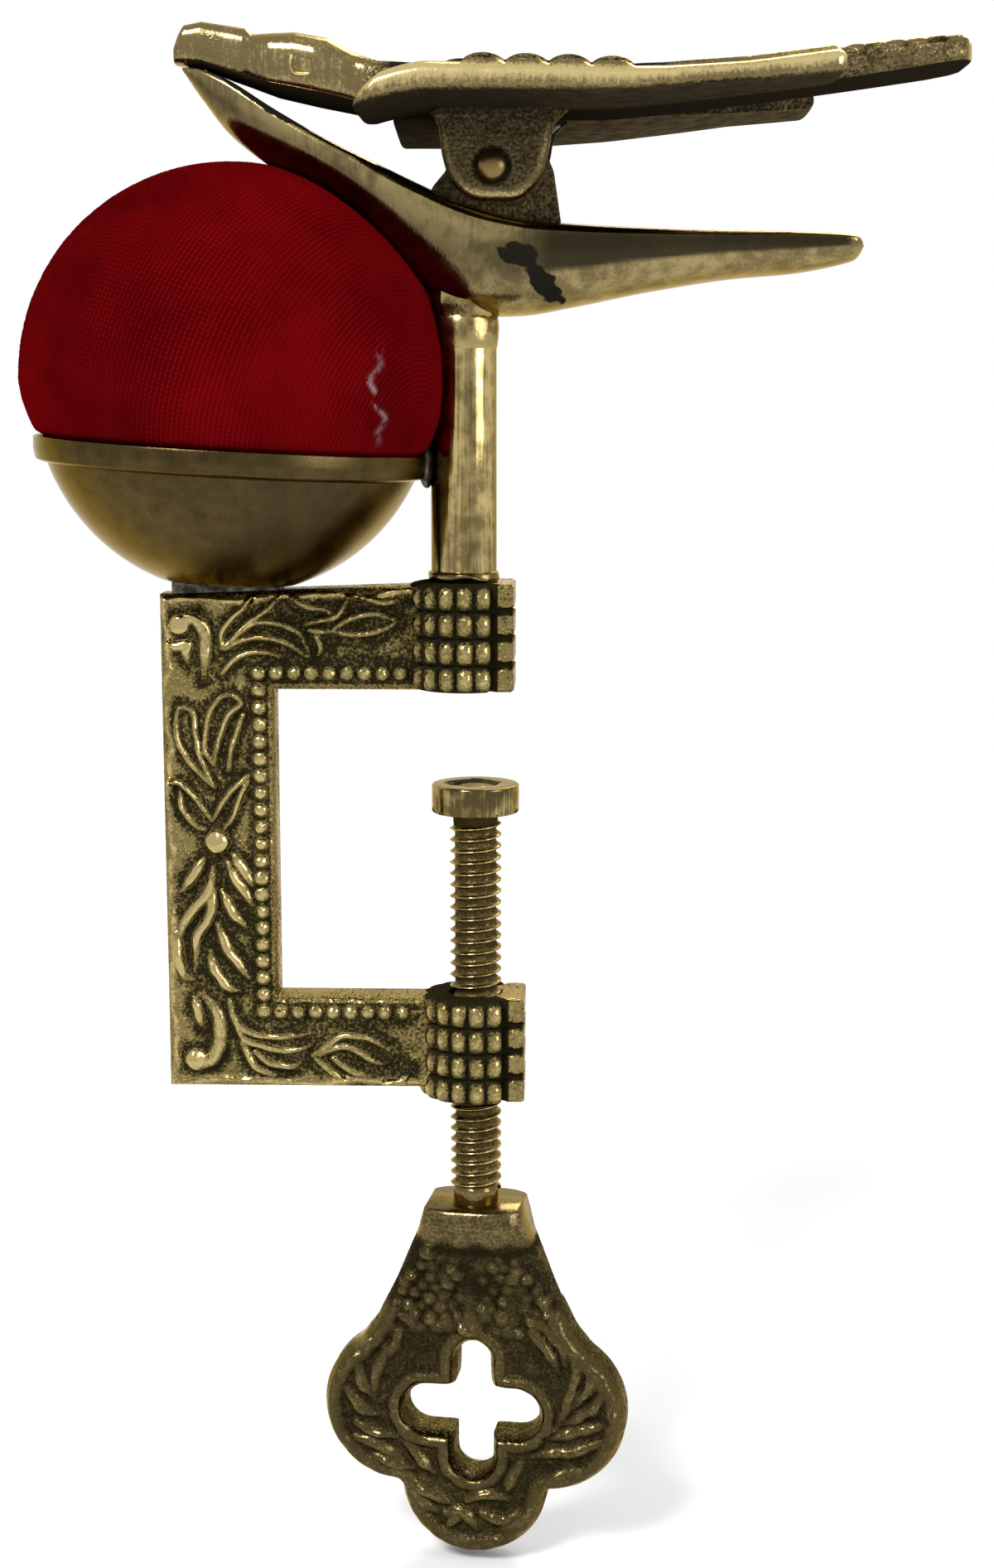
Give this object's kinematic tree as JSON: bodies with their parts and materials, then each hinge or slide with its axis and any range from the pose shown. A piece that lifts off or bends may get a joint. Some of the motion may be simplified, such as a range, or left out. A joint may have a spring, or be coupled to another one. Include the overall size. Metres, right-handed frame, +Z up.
{
  "type": "sewing bird clamp",
  "caption": "Brass sewing bird: a table clamp with a thumb screw, a velvet pincushion in a cup, and a sprung bird whose beak holds cloth when the tail is released.",
  "frame": {"origin": "middle of the fixed jaw face under the upper boss, on the post's axis", "axes": "+Z up the post, +X from the beak towards the tail and out of the clamp's mouth, +Y away from the side pictured"},
  "size_m": [0.083, 0.0382, 0.1424],
  "materials": {
    "aged_cast_brass": "cast relief with bright raised edges and dark patina in the ground",
    "worn_brass_post": "polished, with fine scratches and a thin seam line",
    "brazing": "bright, lumpy",
    "cup_brass": "satin, with dull patches",
    "solder": "grey, half dull",
    "red_velvet": "deep red velvet with a fine rowed pile",
    "wool_stuffing": "loose undyed wool",
    "linen_thread": "twisted linen",
    "polished_bird_brass": "polished, with dark unpolished patches",
    "textured_bird_brass": "feathered casting with a bright rim and dark ground",
    "pin_brass": "bright domed heads",
    "spring_steel": "dull steel wire",
    "screw_brass": "worn crests and dark roots",
    "pad_brass": "turned, polished edge",
    "aged_key_brass": "filed shoulder and pebbled, carved head"
  },
  "bodies": {
    "clamp": {"clamp_frame": "aged_cast_brass", "post": "worn_brass_post", "post_base_braze": "brazing", "post_top_braze": "brazing", "cushion_cup": "cup_brass", "cup_foot_solder": "solder", "cup_side_solder": "solder", "velvet_cover": "red_velvet", "cushion_stuffing": "wool_stuffing", "gathering_thread": "linen_thread", "bird_body": "polished_bird_brass", "beak_spring": "spring_steel"},
    "upper_bird": {"bird_top": "textured_bird_brass", "pivot_pin": "pin_brass"},
    "pad": {"pressure_pad": "pad_brass"},
    "screw": {"clamp_screw": "screw_brass", "thumb_key": "aged_key_brass"}
  },
  "joints": [
    {"name": "beak_hinge", "type": "hinge", "parent": "clamp", "child": "upper_bird", "pos_m": [0.0027, 0, 0.0457], "axis": [0, 1, 0], "range_deg": [0, 16], "stiffness_Nm_per_rad": 0.3, "springref_deg": -28.65, "deforming": ["beak_spring"]},
    {"name": "pad_lift", "type": "slide", "parent": "clamp", "child": "pad", "axis": [0, 0, 1], "range_m": [-0.0165, 0.0085]},
    {"name": "screw_turn", "type": "hinge", "parent": "pad", "child": "screw", "pos_m": [0.001, 0, -0.03], "axis": [0, 0, 1], "range_deg": [-5616, 2893]}
  ],
  "couplings": [
    {"joint": "screw_turn", "follows": "pad_lift", "rad_per_m": 5938.7}
  ]
}
